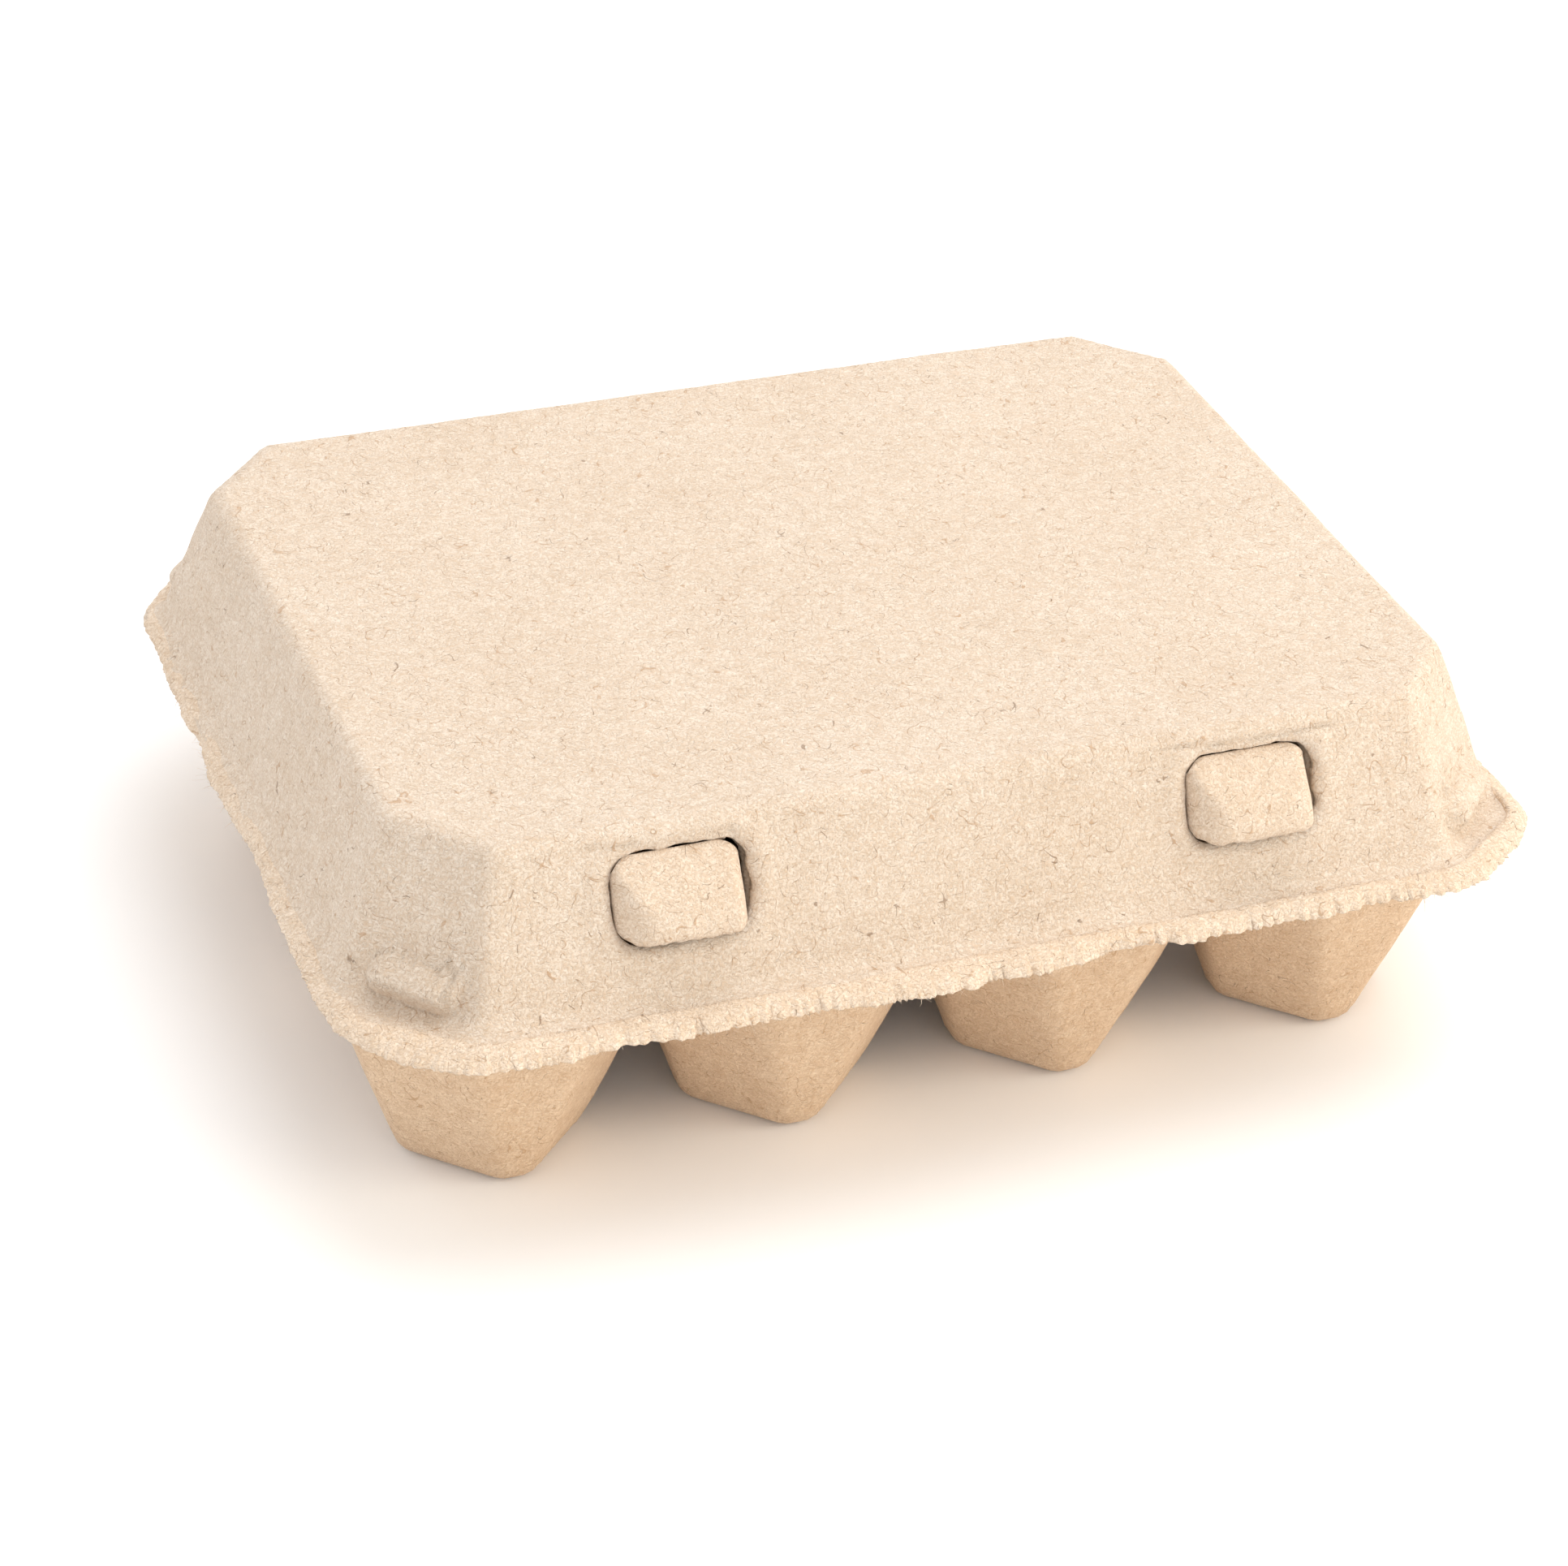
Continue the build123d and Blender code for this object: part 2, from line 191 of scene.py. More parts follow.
def rounded_rectangle(x, y, half_x, range_y, corner):
    """Distance outside a rounded rectangle."""
    half_y = (range_y[1] - range_y[0]) / 2
    across = np.abs(x) - half_x + corner
    up = np.abs(y - (range_y[0] + range_y[1]) / 2) - half_y + corner
    outside = np.hypot(np.maximum(across, 0), np.maximum(up, 0))
    return outside + np.minimum(np.maximum(across, up), 0) - corner


def spaced(*stops):
    """Grid lines from stop to stop: position, step, position, step, ... position."""
    lines = [np.array([stops[0]])]
    for start, step, end in zip(stops[::2], stops[1::2], stops[2::2]):
        count = max(1, round(abs(end - start) / step))
        lines.append(np.linspace(start, end, count + 1)[1:])
    return np.concatenate(lines)


# ---------------------------------------------------------------- meshes

def grid_quads(rows, columns):
    """Faces of a grid whose points run along the columns first."""
    row, column = np.meshgrid(np.arange(rows - 1), np.arange(columns - 1), indexing="ij")
    row, column = row.ravel(), column.ravel()
    here, there = row * columns + column, (row + 1) * columns + column
    return np.stack([here, here + 1, there + 1, there], axis=1)


def normals(points, quads):
    """The sheet's direction at each point, as the mean of the faces round it."""
    corner = points[quads]
    face = np.cross(corner[:, 2] - corner[:, 0], corner[:, 3] - corner[:, 1])
    total = np.zeros_like(points)
    for i in range(4):
        np.add.at(total, quads[:, i], face)
    return total / np.maximum(np.linalg.norm(total, axis=1, keepdims=True), 1e-12)


def trimmed_grid(xs, ys, outside):
    """The part of a flat grid where outside(x, y) is negative, its cut edge moved onto the outline."""
    x, y = (a.ravel() for a in np.meshgrid(xs, ys))
    quads = grid_quads(len(ys), len(xs))
    kept = outside(x[quads].mean(axis=1), y[quads].mean(axis=1)) < 0
    edge = np.intersect1d(quads[kept], quads[~kept])
    step, least_slope = 0.02, 0.2
    for _ in range(3):
        value = outside(x[edge], y[edge])
        slope_x = (outside(x[edge] + step, y[edge]) - outside(x[edge] - step, y[edge])) / (2 * step)
        slope_y = (outside(x[edge], y[edge] + step) - outside(x[edge], y[edge] - step)) / (2 * step)
        steep = np.maximum(slope_x**2 + slope_y**2, least_slope)
        x[edge] -= value * slope_x / steep
        y[edge] -= value * slope_y / steep
    used, quads = np.unique(quads[kept], return_inverse=True)
    return x[used], y[used], quads.reshape(-1, 4)


def open_edges(quads):
    """The edges that only one face has, each in its face's direction."""
    sides = np.concatenate([quads[:, [i, (i + 1) % 4]] for i in range(4)])
    keys = np.sort(sides, axis=1)
    _, first, count = np.unique(keys, axis=0, return_index=True, return_counts=True)
    return sides[first[count == 1]]


def thickened(points, quads, depth, torn=0.0, seed=0):
    """A closed sheet: the surface, the same surface moved back by depth, and a rounded rim.
    The rim of a torn sheet wanders by that many millimetres."""
    facing = normals(points, quads)
    back = points - facing * np.reshape(depth, (-1, 1))
    rim = open_edges(quads)
    border, corner = np.unique(rim, return_inverse=True)
    corner = corner.reshape(-1, 2)
    along = np.zeros((len(border), 3))
    run = points[rim[:, 1]] - points[rim[:, 0]]
    np.add.at(along, corner[:, 0], run)
    np.add.at(along, corner[:, 1], run)
    outward = np.cross(along, facing[border])
    outward /= np.maximum(np.linalg.norm(outward, axis=1, keepdims=True), 1e-12)
    middle = (points[border] + back[border]) / 2
    thick = np.linalg.norm(points[border] - back[border], axis=1)
    bulge = RIM_BULGE * thick + torn * lumps(middle, TEAR_SIZE, seed)
    middle = middle + outward * bulge[:, None]
    count = len(points)
    front_low, front_high = rim[:, 0], rim[:, 1]
    middle_low, middle_high = (2 * count + corner[:, i] for i in range(2))
    first = np.stack([front_high, front_low, middle_low, middle_high], axis=1)
    second = np.stack([middle_high, middle_low, front_low + count, front_high + count], axis=1)
    faces = np.concatenate([quads, quads[:, ::-1] + count, first, second])
    return np.concatenate([points, back, middle]), faces


def piece(name, points, faces, material):
    """A smooth-shaded object from points in millimetres."""
    mesh = bpy.data.meshes.new(name)
    mesh.from_pydata((points * MM).tolist(), [], faces.tolist())
    mesh.polygons.foreach_set("use_smooth", [True] * len(mesh.polygons))
    mesh.materials.append(material)
    mesh.update()
    obj = bpy.data.objects.new(name, mesh)
    bpy.context.scene.collection.objects.link(obj)
    return obj


# ---------------------------------------------------------------- material

class Nodes:
    """Short names for building one node material."""

    def __init__(self, name):
        self.material = bpy.data.materials.new(name)
        self.material.use_nodes = True
        self.tree = self.material.node_tree
        self.shader = self.tree.nodes["Principled BSDF"]
        self.place = self.tree.nodes.new("ShaderNodeTexCoord").outputs["Object"]

    def join(self, source, socket):
        if isinstance(source, bpy.types.NodeSocket):
            self.tree.links.new(source, socket)
        else:
            socket.default_value = source

    def math(self, operation, a, b=0.0, clamp=False):
        node = self.tree.nodes.new("ShaderNodeMath")
        node.operation, node.use_clamp = operation, clamp
        self.join(a, node.inputs[0])
        self.join(b, node.inputs[1])
        return node.outputs[0]

    def band(self, value, low, high):
        """0 where the value is at low, 1 at high, smooth between. Low may be above high."""
        node = self.tree.nodes.new("ShaderNodeMapRange")
        node.interpolation_type = "SMOOTHSTEP"
        self.join(value, node.inputs["Value"])
        node.inputs["From Min"].default_value, node.inputs["From Max"].default_value = low, high
        return node.outputs["Result"]

    def stretched(self, scale, turn):
        node = self.tree.nodes.new("ShaderNodeMapping")
        self.join(self.place, node.inputs["Vector"])
        node.inputs["Scale"].default_value = scale
        node.inputs["Rotation"].default_value = [radians(angle) for angle in turn]
        return node.outputs["Vector"]

    def noise(self, size, detail=2.0, rough=0.5, twist=0.0, place=None):
        """Noise with features about size millimetres across."""
        node = self.tree.nodes.new("ShaderNodeTexNoise")
        self.join(place or self.place, node.inputs["Vector"])
        node.inputs["Scale"].default_value = 1 / (size * MM)
        node.inputs["Detail"].default_value = detail
        node.inputs["Roughness"].default_value = rough
        node.inputs["Distortion"].default_value = twist
        return node.outputs["Fac"]

    def specks(self, spacing, radius, share, place=None):
        """Scattered dots: about share of the cells of that spacing have one."""
        node = self.tree.nodes.new("ShaderNodeTexVoronoi")
        self.join(place or self.place, node.inputs["Vector"])
        node.inputs["Scale"].default_value = 1 / (spacing * MM)
        split = self.tree.nodes.new("ShaderNodeSeparateColor")
        self.join(node.outputs["Color"], split.inputs[0])
        dot = self.band(node.outputs["Distance"], radius / spacing, 0.4 * radius / spacing)
        return self.math("MULTIPLY", dot, self.math("GREATER_THAN", split.outputs[0], 1 - share))

    def streaks(self, width, length, turn, low):
        """Short straight fibres of that width and length, all lying one way."""
        node = self.tree.nodes.new("ShaderNodeMapping")
        node.vector_type = "TEXTURE"
        self.join(self.place, node.inputs["Vector"])
        node.inputs["Scale"].default_value = (length / width, 1, 1)
        node.inputs["Rotation"].default_value = [radians(angle) for angle in turn]
        line = self.noise(width, detail=0.0, twist=0.25, place=node.outputs["Vector"])
        return self.band(line, low, low + 0.1)

    def fibres(self, size, width, share, turn):
        """Short curved hairs: thin level lines of a noise, kept only in scattered patches."""
        line = self.noise(size, detail=0.0, twist=1.2, place=self.stretched((1, 1, 1), turn))
        off = self.math("ABSOLUTE", self.math("SUBTRACT", line, 0.5))
        hair = self.band(off, width, 0.3 * width)
        patch = self.noise(size * 0.45, detail=1.0, place=self.stretched((1.3, 0.9, 1.1), turn[::-1]))
        return self.math("MULTIPLY", hair, self.band(patch, 1 - share, 1 - share + 0.05))

    def mix(self, amount, a, b):
        node = self.tree.nodes.new("ShaderNodeMix")
        node.data_type = "RGBA"
        self.join(amount, node.inputs["Factor"])
        self.join(a, node.inputs["A"])
        self.join(b, node.inputs["B"])
        for socket in node.outputs:
            if socket.type == "RGBA":
                return socket

    def bump(self, height, distance, normal=None):
        """Bump of that many millimetres."""
        node = self.tree.nodes.new("ShaderNodeBump")
        self.join(height, node.inputs["Height"])
        node.inputs["Distance"].default_value = distance * MM
        if normal:
            self.join(normal, node.inputs["Normal"])
        return node.outputs["Normal"]


def srgb(red, green, blue):
    """A colour from its everyday 0 to 255 values."""
    channels = [value / 255 for value in (red, green, blue)]
    return [(c / 12.92 if c <= 0.04045 else ((c + 0.055) / 1.055) ** 2.4) for c in channels] + [1.0]


RIB_PITCH = 1.15


def pulp(name, light, dark, ribbing=0.0, fuzz=1.0):
    """Dry moulded pulp: mottled, specked and full of short fibres, with the felt's ribs on smooth walls."""
    n = Nodes(name)
    clouds = n.noise(30, detail=2.0, rough=0.5)
    mottle = n.noise(2.6, detail=4.0, rough=0.7)
    grain = n.noise(0.5, detail=3.0, rough=0.75, twist=0.6)
    tone = n.math("ADD", n.math("MULTIPLY", clouds, 0.12), n.math("MULTIPLY", mottle, 0.28))
    tone = n.math("ADD", tone, n.math("MULTIPLY", grain, 0.54))
    colour = n.mix(n.band(tone, 0.28, 0.66), light, dark)
    felt = n.streaks(0.3, 2.4, (0, 12, 25), 0.6)
    for turn in ((8, 0, -38), (70, 20, 80), (15, 75, 140)):
        felt = n.math("MAXIMUM", felt, n.streaks(0.3, 2.4, turn, 0.6))
    tan_hair = n.fibres(4.5, 0.014, 0.5, (20, 40, 10))
    brown_hair = n.fibres(5.5, 0.008, 0.4, (65, 15, 35))
    colour = n.mix(n.math("MULTIPLY", felt, 0.26), colour, srgb(190, 150, 108))
    colour = n.mix(n.math("MULTIPLY", tan_hair, 0.5), colour, srgb(180, 134, 88))
    colour = n.mix(n.math("MULTIPLY", brown_hair, 0.6), colour, srgb(126, 92, 62))
    colour = n.mix(n.math("MULTIPLY", n.specks(6.5, 0.2, 0.4), 0.7), colour, srgb(104, 74, 52))
    colour = n.mix(n.math("MULTIPLY", n.specks(2.2, 0.15, 0.3), 0.45), colour, srgb(156, 116, 78))
    colour = n.mix(n.math("MULTIPLY", n.specks(7.7, 0.24, 0.35), 0.7), colour, srgb(255, 250, 240))
    n.join(colour, n.shader.inputs["Base Color"])
    n.join(n.math("ADD", n.math("MULTIPLY", grain, 0.12), 0.84), n.shader.inputs["Roughness"])
    n.shader.inputs["Specular IOR Level"].default_value = 0.22
    n.shader.inputs["Sheen Weight"].default_value = 0.12
    n.shader.inputs["Sheen Roughness"].default_value = 0.6
    normal = n.bump(mottle, 0.17 * fuzz)
    normal = n.bump(grain, 0.24 * fuzz, normal)
    normal = n.bump(n.math("ADD", felt, n.math("ADD", tan_hair, brown_hair)), 0.05, normal)
    if ribbing:
        wave = n.tree.nodes.new("ShaderNodeTexWave")
        wave.bands_direction = "Z"
        n.join(n.place, wave.inputs["Vector"])
        wave.inputs["Scale"].default_value = tau / (20 * RIB_PITCH * MM)
        wave.inputs["Distortion"].default_value = 1.6
        wave.inputs["Detail"].default_value = 2.0
        wave.inputs["Detail Scale"].default_value = 1.4
        normal = n.bump(wave.outputs["Fac"], ribbing, normal)
    n.join(normal, n.shader.inputs["Normal"])
    return n.material


LID_PULP = pulp("lid_pulp", srgb(237, 223, 207), srgb(212, 190, 166), ribbing=0.05)
# The base is the same sheet as the lid, but its pulp is painted darker and more tan: painted shade and warm
# bounce light on the downward-facing cups.
SHADED_BASE_PULP = pulp("base_pulp", srgb(238, 211, 180), srgb(205, 169, 133))
FLAP_PULP = pulp("flap_pulp", srgb(239, 222, 203), srgb(214, 190, 164))
TORN_PULP = pulp("torn_pulp", srgb(247, 230, 211), srgb(223, 197, 168), fuzz=1.3)


# ---------------------------------------------------------------- base

def column_x(column):
    """The middle of a column of cups."""
    return (column - (COLUMNS - 1) / 2) * PITCH_X


def row_y(row):
    """The middle of a row of cups."""
    return (row - (ROWS - 1) / 2) * PITCH_Y


def cup_distance(x, y, z):
    """Distance to one cup's outside, from the cup's middle."""
    flat_x = leaning_face(np.abs(x), z, CUP_FLATS)
    flat_y = leaning_face(np.abs(y), z, CUP_FLATS)
    corner = leaning_face((np.abs(x) + np.abs(y)) * 0.5**0.5, z, CUP_CORNERS)
    wall = rounded_inside(CUP_EDGE_ROUND, flat_x, flat_y, corner)
    return rounded_inside(CUP_FOOT_ROUND, wall, -z)


def base_distance(x, y, z):
    """Distance to everything above the base's outer surface: cups, joined at their ridges and
    roofed over by the posts inside and by the rim round the outside."""
    cups = [cup_distance(x - column_x(c), y - row_y(r), z) for c in range(COLUMNS) for r in range(ROWS)]
    near_posts = (np.abs(x) < column_x(COLUMNS - 1)) & (np.abs(y) < row_y(ROWS - 1))
    roof = np.where(near_posts, POST_TOP, RIM_TOP) - SHEET - z
    return rounded_union(POST_ROUND, rounded_union(CUP_RIDGE_ROUND, *cups), roof)


def octagon_distance(x, y, half_x, front, rear, front_corner, rear_corner):
    """Distance outside a rectangle with cut corners; a cut is how much it takes off along X and Y."""
    far = np.maximum(np.abs(x) - half_x, np.maximum(y - rear, -y - front))
    for (leg_x, leg_y), edge in ((front_corner, front + y), (rear_corner, rear - y)):
        inside_x = half_x - np.abs(x)
        far = np.maximum(far, (leg_x * leg_y - inside_x * leg_y - edge * leg_x) / np.hypot(leg_x, leg_y))
    return far


def rim_outside(x, y):
    """Distance outside the base's rim, whose edge wanders a little, only ever inwards."""
    wander = 0.35 * lumps(np.stack([x, y, 0 * x], axis=1), 9.0, 11)
    outline = octagon_distance(x, y, RIM_HALF_X, RIM_FRONT, RIM_REAR, *RIM_CUTS)
    return outline + wander + 0.35


def make_base():
    """The whole base as one sheet, with fine steps on the cups' walls and coarse ones on their bottoms."""
    fine, coarse, bottom_half, wall_end = 0.7, 1.6, 12.5, 26.5
    x_stops, y_stops = [-RIM_HALF_X - 1], [-RIM_FRONT - 1]
    for column in range(COLUMNS):
        x_stops += [fine, column_x(column) - bottom_half, coarse, column_x(column) + bottom_half]
    for row in range(ROWS):
        y_stops += [fine, row_y(row) - bottom_half, coarse, row_y(row) + bottom_half]
    xs = spaced(*x_stops, fine, RIM_HALF_X + 1)
    ys = spaced(*y_stops, fine, row_y(ROWS - 1) + wall_end, 1.2, RIM_REAR + 1)
    x, y, quads = trimmed_grid(xs, ys, rim_outside)
    z = surface_height(base_distance, x, y, -1, 60)
    points = np.stack([x, y, z], axis=1)
    facing = normals(points, quads)
    relief = layered(points, (0.16, 11, 1), (0.07, 3.5, 2), (0.04, 1.4, 3))
    relief *= smooth(0.2, 2.0, z)
    points = points + facing * relief[:, None]
    points, faces = thickened(points, quads[:, ::-1], SHEET, torn=0.2, seed=5)
    obj = piece("base_shell", points, faces, SHADED_BASE_PULP)
    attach(obj, "base")
    return obj


# ---------------------------------------------------------------- lid

def lid_distance(x, y, z):
    """Distance to the lid's outside: eight leaning walls under a flat top, filleted onto the flange."""
    heights = (LID_FOOT_Z, TOP_Z)
    side = leaning_face(np.abs(x), z, list(zip(heights, LID_SIDE)))
    end = leaning_face(np.abs(y), z, list(zip(heights, LID_END)))
    diagonal = np.abs(x) * CORNER_NORMAL[0] + np.abs(y) * CORNER_NORMAL[1]
    corner = leaning_face(diagonal, z, list(zip(heights, LID_CORNER)))
    wall = rounded_inside(LID_EDGE_ROUND, side, end, corner)
    dome = rounded_inside(LID_TOP_ROUND, wall, z - TOP_Z)
    return rounded_union(LID_FOOT_ROUND, dome, z - FLANGE_TOP)


def flange_outline(x, y, inset):
    """Distance outside the lid's flange, moved inwards except along the hinge."""
    half_x, front = CAD_HIGH[0] - inset, -CAD_LOW[1] - inset
    front_cut, (rear_x, rear_y) = FLANGE_CUTS
    rear_cut = (rear_x - 0.4 * inset, rear_y - 0.4 * inset)
    return octagon_distance(x, y, half_x, front, FLANGE_REAR, front_cut, rear_cut)


def on_front(x, rise, out):
    """Points set out on the lid's front wall: along it, up its slope and out along its normal."""
    x, rise, out = np.broadcast_arrays(x, rise, out)
    return FRONT_FOOT + x[:, None] * [1, 0, 0] + rise[:, None] * FRONT_UP + out[:, None] * FRONT_OUT


def window_distance(x, rise):
    """Distance outside the nearer locking window, negative in the opening."""
    flat = np.stack([x, rise, 0 * x], axis=1)
    wander = layered(flat, (0.22, 2.6, 21), (0.12, 1.0, 22))
    return rounded_rectangle(np.abs(x) - WINDOW_X, rise, WINDOW_HALF, WINDOW_RISE, WINDOW_ROUND) + wander


def lid_outside(x, y):
    """Distance outside the lid sheet, with the two windows cut out of its front wall."""
    wander = 0.3 * lumps(np.stack([x, y, 0 * x], axis=1), 7.0, 12)
    inset = LIP_INSET_SIDE + (LIP_INSET_FRONT - LIP_INSET_SIDE) * smooth(60, 78, -y)
    edge = flange_outline(x, y, inset) + wander * smooth(FLANGE_REAR, FLANGE_REAR - 6, y)
    rise = (y + LID_END[0]) / sin(FRONT_LEAN)
    window = np.where(y < -LID_END[1] + 1, window_distance(x, rise), 50.0)
    return np.maximum(edge, -window)


def lug_relief(points):
    """The four pill-shaped nesting lugs, low on the cut corners."""
    x, y = np.abs(points[:, 0]), np.abs(points[:, 1])
    along = x * CORNER_NORMAL[1] - y * CORNER_NORMAL[0]
    across = x * CORNER_NORMAL[0] + y * CORNER_NORMAL[1]
    up_slope = 1.08
    rise = (points[:, 2] - LID_FOOT_Z) * up_slope
    corner = smooth(98.0, 101.0, across)
    steep = np.where(rise > LUG_RISE, 0.8, 1.4)
    off = np.hypot(np.maximum(np.abs(along - LUG_ALONG) - LUG_HALF, 0), (rise - LUG_RISE) * steep)
    dome = np.clip(1 - (off / LUG_ROUND) ** 2, 0, 1) ** 0.8
    hollow = np.exp(-(((off - LUG_ROUND - 1.0) / 1.5) ** 2))
    return corner * (LUG_PROUD * dome - LUG_HOLLOW * hollow)


def lid_relief(points):
    """How far the lid's surface stands off its plain shape."""
    x, y, z = points.T
    rise = (points - FRONT_FOOT) @ FRONT_UP
    off_window = window_distance(x, rise)
    front = smooth(-LID_END[1] + 3, -LID_END[1] - 1, y)
    swell = front * SWELL_HEIGHT * np.exp(-(((off_window - SWELL_OFF) / SWELL_WIDTH) ** 2))
    edge_fall = front * -WINDOW_FALL * smooth(1.1, 0.0, off_window)
    crease = smooth(CREASE_WIDTH, 0.0, np.abs(rise - CREASE_RISE - 0.9 * lumps(points, 9, 31)))
    over_window = smooth(28, 12, np.abs(np.abs(x) - WINDOW_X))
    broken = smooth(-0.2, 0.5, lumps(points * [1, 0.2, 3], 5, 32))
    wrinkle = -CREASE_DEPTH * crease * over_window * front * broken
    sag = layered(points, (0.30, 42, 33), (0.14, 15, 34))
    rough = layered(points, (0.05, 3.2, 35), (0.035, 1.3, 36))
    return swell + edge_fall + wrinkle + sag * smooth(40, 44, z) + rough + lug_relief(points)


def make_lid():
    """The lid as one sheet, with fine steps over the windows, edges and lugs and coarse ones between."""
    half_x, front, rear = CAD_HIGH[0], -CAD_LOW[1], CAD_HIGH[1]
    near, far = WINDOW_X - 14, WINDOW_X + 14
    right = (near, 0.5, far, 1.5, 84, 0.34, 98, 0.5, half_x)
    left = tuple(-stop if i % 2 == 0 else stop for i, stop in enumerate(right))[::-1]
    xs = spaced(*left, 1.5, *right)
    front_wall = (-front, 0.5, -77.6, 0.34, -74.6, 0.2, -67.0, 0.5, -60)
    rear_wall = (61, 0.5, 66, 0.36, 77.6, 0.6, rear)
    ys = spaced(*front_wall, 2.0, *rear_wall)
    x, y, quads = trimmed_grid(xs, ys, lid_outside)
    z = surface_height(lid_distance, x, y, 30, 75)
    points = np.stack([x, y, z], axis=1)
    lip = smooth(2.2, 0.0, -lid_outside(x, y)) * smooth(42, 40.6, z) * smooth(80, 76, y)
    points[:, 2] -= LIP_DROP * lip
    facing = normals(points, quads)
    depth = LID_SHEET - LUG_THINNING * smooth(0.03, 0.4, np.abs(lug_relief(points)))
    points = points + facing * lid_relief(points)[:, None]
    points, faces = thickened(points, quads, depth, torn=0.12, seed=6)
    obj = piece("lid_shell", points, faces, LID_PULP)
    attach(obj, "lid")
    return obj


def ring_path(inset, step=0.33):
    """Points round the flange's outline, from its rear left over the front to its rear right."""
    half_x, front, rear = CAD_HIGH[0] - inset, -CAD_LOW[1] - inset, FLANGE_REAR
    (front_x, front_y), (rear_x, rear_y) = FLANGE_CUTS
    front_ends = [(half_x - front_x, -front), (half_x, front_y - front)]
    rear_ends = [(half_x, rear - rear_y), (half_x - rear_x, rear)]
    right = front_ends + rear_ends
    corners = np.array([(-x, y) for x, y in reversed(right)] + right)
    run = np.concatenate([[0], np.cumsum(np.hypot(*np.diff(corners, axis=0).T))])
    stations = np.linspace(0, run[-1], int(run[-1] / step))
    path = np.stack([np.interp(stations, run, corners[:, i]) for i in range(2)], axis=1)
    reach = 12
    padded = np.pad(path, ((reach, reach), (0, 0)), mode="edge")
    blur = np.ones(2 * reach + 1) / (2 * reach + 1)
    return np.stack([np.convolve(padded[:, i], blur, mode="valid") for i in range(2)], axis=1)


DECKLE_INSET, DECKLE_WIDTH, DECKLE_DROP, DECKLE_EDGE = 2.6, 2.2, 1.1, 0.16
STRIP_SHARES = (0.0, 0.16, 0.32, 0.46, 0.6, 0.72, 0.82, 0.9, 0.96, 1.0)  # its rows, closer towards the edge


def make_deckle():
    """The thin frayed edge that runs on beyond the lid's flange on every side but the hinge."""
    path = ring_path(DECKLE_INSET)
    ahead = np.gradient(path, axis=0)
    outward = np.stack([ahead[:, 1], -ahead[:, 0]], axis=1)
    outward /= np.linalg.norm(outward, axis=1, keepdims=True)
    place = np.column_stack([path, np.zeros(len(path))])
    front = smooth(66, 80, -path[:, 1])
    corner = smooth(80, 96, np.abs(path[:, 0])) * front
    # It is wider and more torn at the front and on the front corners, and fades out at the hinge.
    teeth = 0.45 * np.abs(lumps(place, 2.4, 43)) + 0.8 * np.abs(lumps(place, 0.9, 44)) - 0.4
    fray = layered(place, (1.3, 19, 41), (1.0, 6.5, 42)) - teeth
    width = DECKLE_WIDTH + 0.5 * front + 1.0 * corner + fray * (0.5 + 0.6 * front)
    width *= smooth(0, 14, np.arange(len(path))) * smooth(0, 14, np.arange(len(path))[::-1])
    sag = 0.35 + 0.45 * lumps(place, 24, 45) + 0.3 * front
    start = -1.3 - 0.6 * front
    rows, depths = [], []
    for share in STRIP_SHARES:
        flat = path + outward * (start + share * (width - start))[:, None]
        height = FLANGE_TOP - DECKLE_DROP - sag * share**2 - 0.25 * share**6
        spot = np.column_stack([flat, np.full(len(path), 3.0 * share)])
        height += layered(spot, (0.32, 7.0, 46), (0.13, 2.2, 47), (0.1 * share, 0.9, 48))
        rows.append(np.column_stack([flat, height]))
        depths.append(np.full(len(path), DECKLE_EDGE + 1.1 * (1 - share**2)))
    points = np.stack(rows, axis=1).reshape(-1, 3)
    depth = np.stack(depths, axis=1).ravel()
    quads = grid_quads(len(path), len(rows))[:, ::-1]
    points, faces = thickened(points, quads, depth, torn=0.15, seed=7)
    obj = piece("lid_flange_deckle", points, faces, TORN_PULP)
    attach(obj, "lid")
    make_stray_fibres(rows[-1], outward)


def make_stray_fibres(tips, outward):
    """Loose hairs that stand out of the torn edge in patches, each a thin curved thread."""
    random = np.random.default_rng(9)
    count, joints, sides, radius, rooted = 520, 7, 4, 0.055, 0.4
    hinge_end = 40
    chosen = random.integers(hinge_end, len(tips) - hinge_end, count)
    chosen = chosen[lumps(tips[chosen], 9.0, 49) > -0.25]
    points, faces = [], []
    for station in chosen:
        heading = np.append(outward[station], 0) + random.normal(0, (0.6, 0.6, 0.4))
        heading /= np.linalg.norm(heading)
        bend = random.normal(0, 0.3, 3)
        length = random.uniform(0.6, 2.1)
        share = np.linspace(0, 1, joints)[:, None]
        root = tips[station] - np.append(outward[station], 0) * rooted
        middle = root + length * (share * heading + share**2 * bend)
        thick = radius * (1 - 0.7 * share)
        ring = [(cos(tau * i / sides), sin(tau * i / sides)) for i in range(sides)]
        base = len(points) * joints * sides
        tube = np.stack([middle + thick * np.array([c, -s, s]) for c, s in ring], axis=1)
        points.append(tube.reshape(-1, 3))
        for j in range(joints - 1):
            for i in range(sides):
                here, beside = base + j * sides + i, base + j * sides + (i + 1) % sides
                faces.append([here, beside, beside + sides, here + sides])
        last = base + (joints - 1) * sides
        faces += [[base + 3, base + 2, base + 1, base], [last, last + 1, last + 2, last + 3]]
    obj = piece("lid_flange_fibres", np.concatenate(points), np.array(faces), TORN_PULP)
    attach(obj, "lid")


# ---------------------------------------------------------------- hinge webs

WEB_RADIUS, WEB_SHEET = 0.9, 0.9


